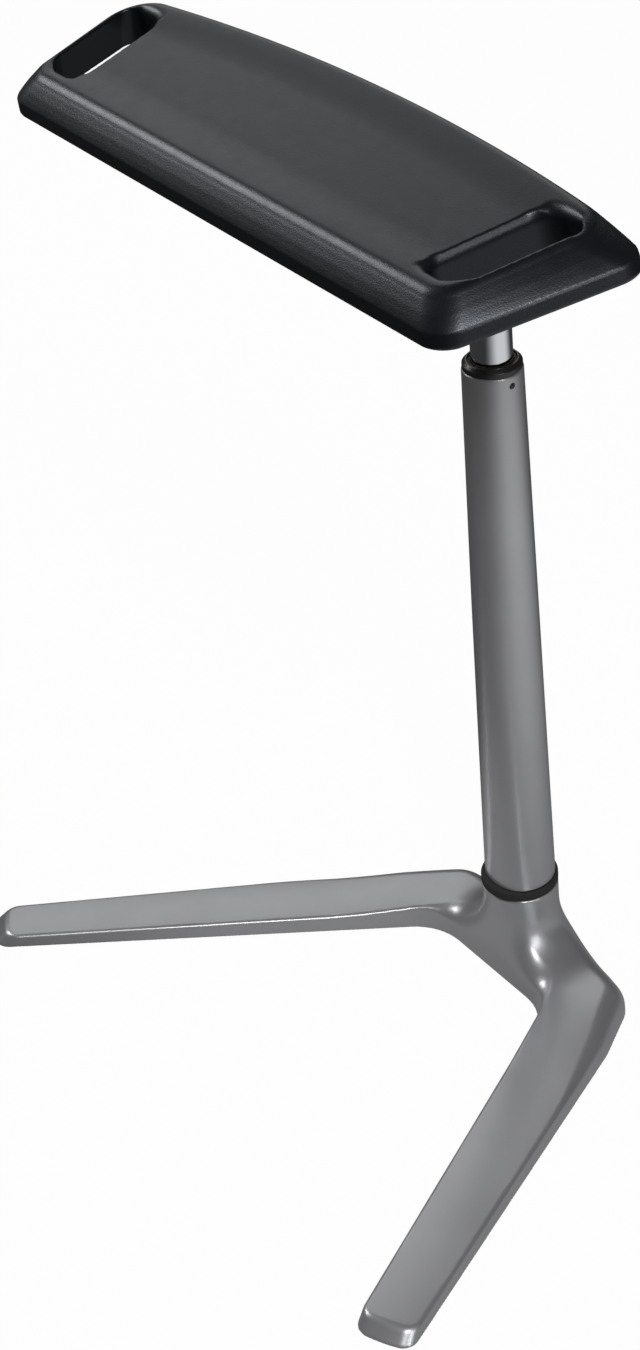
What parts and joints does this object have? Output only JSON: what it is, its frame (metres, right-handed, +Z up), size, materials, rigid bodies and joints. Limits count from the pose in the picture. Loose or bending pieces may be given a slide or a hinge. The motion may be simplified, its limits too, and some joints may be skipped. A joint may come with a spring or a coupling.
{
  "type": "perch stool",
  "caption": "Perch stool with a V-shaped cast base, a leaning tapered column, a gas spring and a wide tilted foam seat with a grip slot at each end.",
  "frame": {"origin": "middle of the whole stool's footprint box, on the floor", "axes": "+Z up; +X along the seat; -Y towards the sitter's feet, where the V of the base opens; the seat is lower on the -Y side and the column leans that way"},
  "size_m": [0.5396, 0.362, 0.7145],
  "materials": {
    "cast_silver": "satin silver-grey powder coat on a casting",
    "silver_paint": "satin silver-grey powder coat",
    "chrome": "mirror",
    "steel": "zinc plated",
    "black_steel": "satin black",
    "black_plastic": "moulded satin",
    "black_rubber": "matt",
    "black_foam": "integral-skin polyurethane foam with a fine leather grain",
    "brown_felt": "oiled felt",
    "plywood": "raw plywood"
  },
  "bodies": {
    "base": {"base_casting": "cast_silver", "toe_pad_left": "black_rubber", "toe_pad_right": "black_rubber", "heel_pad_left": "black_rubber", "heel_pad_right": "black_rubber", "bearing_sleeve": "steel"},
    "bearing": {"bearing_rubber": "black_rubber", "column_ring": "black_rubber"},
    "column": {"bearing_core": "steel", "core_washer": "steel", "core_bolt": "black_steel", "column_foot_plug": "steel", "column_tube": "silver_paint", "guide_bush": "black_plastic", "wiper_ring": "brown_felt", "guide_grub_screw": "black_steel", "piston_rod": "chrome", "piston": "black_steel", "rod_washer": "steel", "rod_clip": "black_steel"},
    "lift": {"gas_tube": "chrome", "rod_guide": "black_plastic", "valve_head": "steel", "seat_arm": "black_steel", "lever_pivot_pin": "steel", "seat_board": "plywood", "seat_pad": "black_foam", "seat_insert_1": "steel", "seat_insert_2": "steel", "seat_insert_3": "steel", "seat_insert_4": "steel", "seat_screw_1": "black_steel", "seat_screw_2": "black_steel", "seat_screw_3": "black_steel", "seat_screw_4": "black_steel"},
    "lever": {"release_lever": "black_steel", "lever_grip": "black_plastic"},
    "pin": {"release_pin": "steel"}
  },
  "joints": [
    {"name": "rock_fore_aft", "type": "hinge", "parent": "base", "child": "bearing", "pos_m": [0, 0.13709, 0.04383], "axis": [1, 0, 0], "range_deg": [-2.5, 2.5], "stiffness_Nm_per_rad": 1200, "springref_deg": -0.17, "deforming": ["column_ring"]},
    {"name": "rock_sideways", "type": "hinge", "parent": "bearing", "child": "column", "pos_m": [0, 0.13709, 0.04383], "axis": [0, 0.9961, 0.0885], "range_deg": [-2.5, 2.5], "stiffness_Nm_per_rad": 1200, "deforming": ["bearing_rubber"]},
    {"name": "height_slide", "type": "slide", "parent": "column", "child": "lift", "axis": [0, -0.0885, 0.9961], "range_m": [-0.07, 0.12]},
    {"name": "lever_hinge", "type": "hinge", "parent": "lift", "child": "lever", "pos_m": [-0.014, 0.08415, 0.63938], "axis": [0, 0.9961, 0.0885], "range_deg": [0, 8], "stiffness_Nm_per_rad": 1.5, "springref_deg": -4.58},
    {"name": "pin_slide", "type": "slide", "parent": "lift", "child": "pin", "axis": [0, 0.0885, -0.9961], "range_m": [0, 0.002]}
  ],
  "couplings": [
    {"joint": "pin_slide", "follows": "lever_hinge", "m_per_rad": 0.014}
  ]
}
